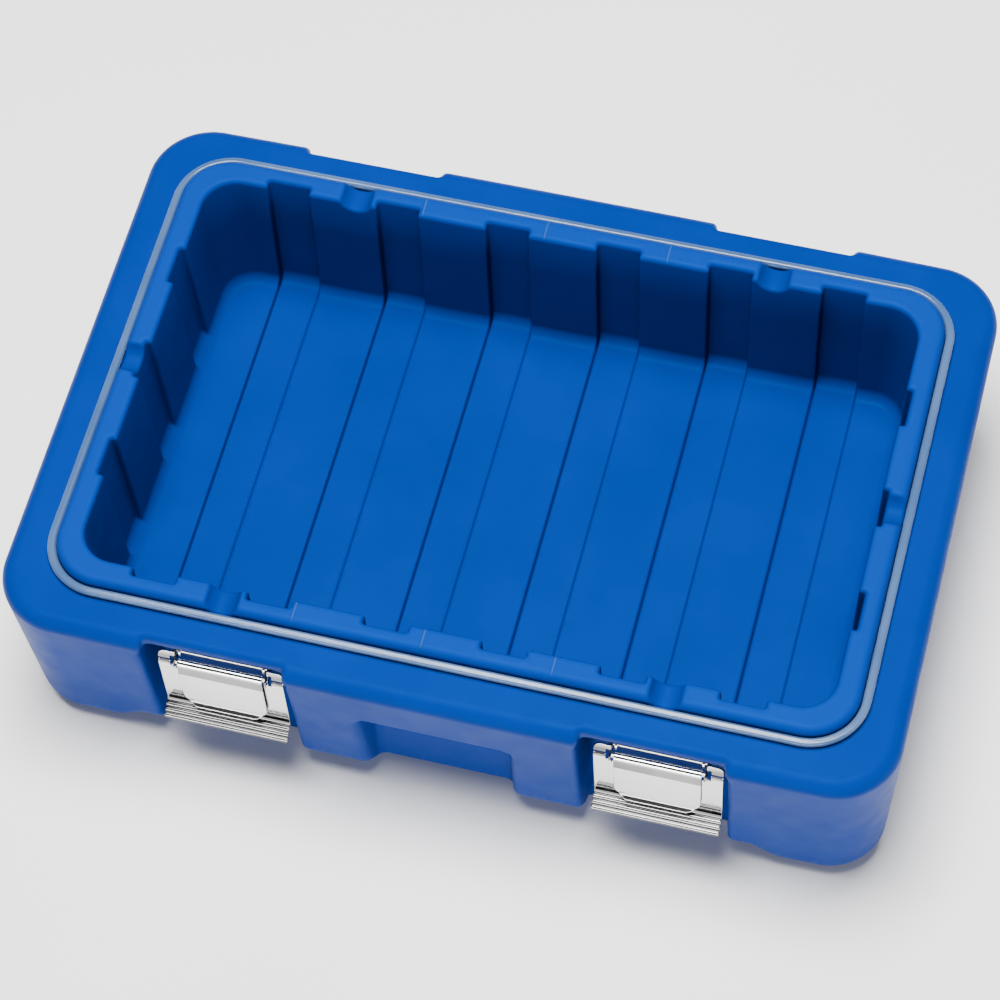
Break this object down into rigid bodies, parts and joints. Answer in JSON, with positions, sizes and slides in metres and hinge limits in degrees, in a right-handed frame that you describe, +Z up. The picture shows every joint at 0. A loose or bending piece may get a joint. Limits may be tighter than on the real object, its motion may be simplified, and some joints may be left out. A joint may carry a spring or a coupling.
{
  "type": "insulated food carrier base",
  "caption": "Double-walled insulated tub for a food pan, with a raised sealing lip, gasket, hand recesses and over-centre latches.",
  "frame": {"origin": "centre of the outer box at the underside of the corner feet", "axes": "+X along the long side, +Y from the front to the rear, +Z up out of the open tub"},
  "size_m": [0.6718, 0.4688, 0.1825],
  "materials": {
    "blue_polyethylene": "semi-gloss rotomoulded",
    "insulating_foam": "matt closed-cell foam",
    "silicone": "translucent satin",
    "plug_plastic": "matt moulded",
    "stainless_steel": "polished stainless"
  },
  "bodies": {
    "body": {"body_shell": "blue_polyethylene", "foam_core": "insulating_foam", "lid_gasket": "silicone", "foam_plug_left": "plug_plastic", "foam_plug_right": "plug_plastic", "latch_bracket_front_left": "stainless_steel", "hinge_pin_front_left": "stainless_steel", "rivet_front_left_1": "stainless_steel", "rivet_front_left_2": "stainless_steel", "rivet_front_left_3": "stainless_steel", "rivet_front_left_4": "stainless_steel", "latch_bracket_front_right": "stainless_steel", "hinge_pin_front_right": "stainless_steel", "rivet_front_right_1": "stainless_steel", "rivet_front_right_2": "stainless_steel", "rivet_front_right_3": "stainless_steel", "rivet_front_right_4": "stainless_steel", "latch_bracket_rear_left": "stainless_steel", "hinge_pin_rear_left": "stainless_steel", "rivet_rear_left_1": "stainless_steel", "rivet_rear_left_2": "stainless_steel", "rivet_rear_left_3": "stainless_steel", "rivet_rear_left_4": "stainless_steel", "latch_bracket_rear_right": "stainless_steel", "hinge_pin_rear_right": "stainless_steel", "rivet_rear_right_1": "stainless_steel", "rivet_rear_right_2": "stainless_steel", "rivet_rear_right_3": "stainless_steel", "rivet_rear_right_4": "stainless_steel"},
    "handle_front_left": {"latch_handle_front_left": "stainless_steel", "hook_pin_front_left": "stainless_steel"},
    "hook_front_left": {"latch_hook_front_left": "stainless_steel"},
    "handle_front_right": {"latch_handle_front_right": "stainless_steel", "hook_pin_front_right": "stainless_steel"},
    "hook_front_right": {"latch_hook_front_right": "stainless_steel"},
    "handle_rear_left": {"latch_handle_rear_left": "stainless_steel", "hook_pin_rear_left": "stainless_steel"},
    "hook_rear_left": {"latch_hook_rear_left": "stainless_steel"},
    "handle_rear_right": {"latch_handle_rear_right": "stainless_steel", "hook_pin_rear_right": "stainless_steel"},
    "hook_rear_right": {"latch_hook_rear_right": "stainless_steel"}
  },
  "joints": [
    {"name": "handle_front_left_hinge", "type": "hinge", "parent": "body", "child": "handle_front_left", "pos_m": [-0.1593, -0.2135, 0.146], "axis": [-1, 0, 0], "range_deg": [0, 50]},
    {"name": "hook_front_left_hinge", "type": "hinge", "parent": "handle_front_left", "child": "hook_front_left", "pos_m": [-0.1593, -0.2215, 0.142], "axis": [-1, 0, 0], "range_deg": [0, 70]},
    {"name": "handle_front_right_hinge", "type": "hinge", "parent": "body", "child": "handle_front_right", "pos_m": [0.1677, -0.2135, 0.146], "axis": [-1, 0, 0], "range_deg": [0, 50]},
    {"name": "hook_front_right_hinge", "type": "hinge", "parent": "handle_front_right", "child": "hook_front_right", "pos_m": [0.1677, -0.2215, 0.142], "axis": [-1, 0, 0], "range_deg": [0, 70]},
    {"name": "handle_rear_left_hinge", "type": "hinge", "parent": "body", "child": "handle_rear_left", "pos_m": [-0.1593, 0.2135, 0.146], "axis": [1, 0, 0], "range_deg": [0, 50]},
    {"name": "hook_rear_left_hinge", "type": "hinge", "parent": "handle_rear_left", "child": "hook_rear_left", "pos_m": [-0.1593, 0.2215, 0.142], "axis": [1, 0, 0], "range_deg": [0, 70]},
    {"name": "handle_rear_right_hinge", "type": "hinge", "parent": "body", "child": "handle_rear_right", "pos_m": [0.1677, 0.2135, 0.146], "axis": [1, 0, 0], "range_deg": [0, 50]},
    {"name": "hook_rear_right_hinge", "type": "hinge", "parent": "handle_rear_right", "child": "hook_rear_right", "pos_m": [0.1677, 0.2215, 0.142], "axis": [1, 0, 0], "range_deg": [0, 70]}
  ]
}
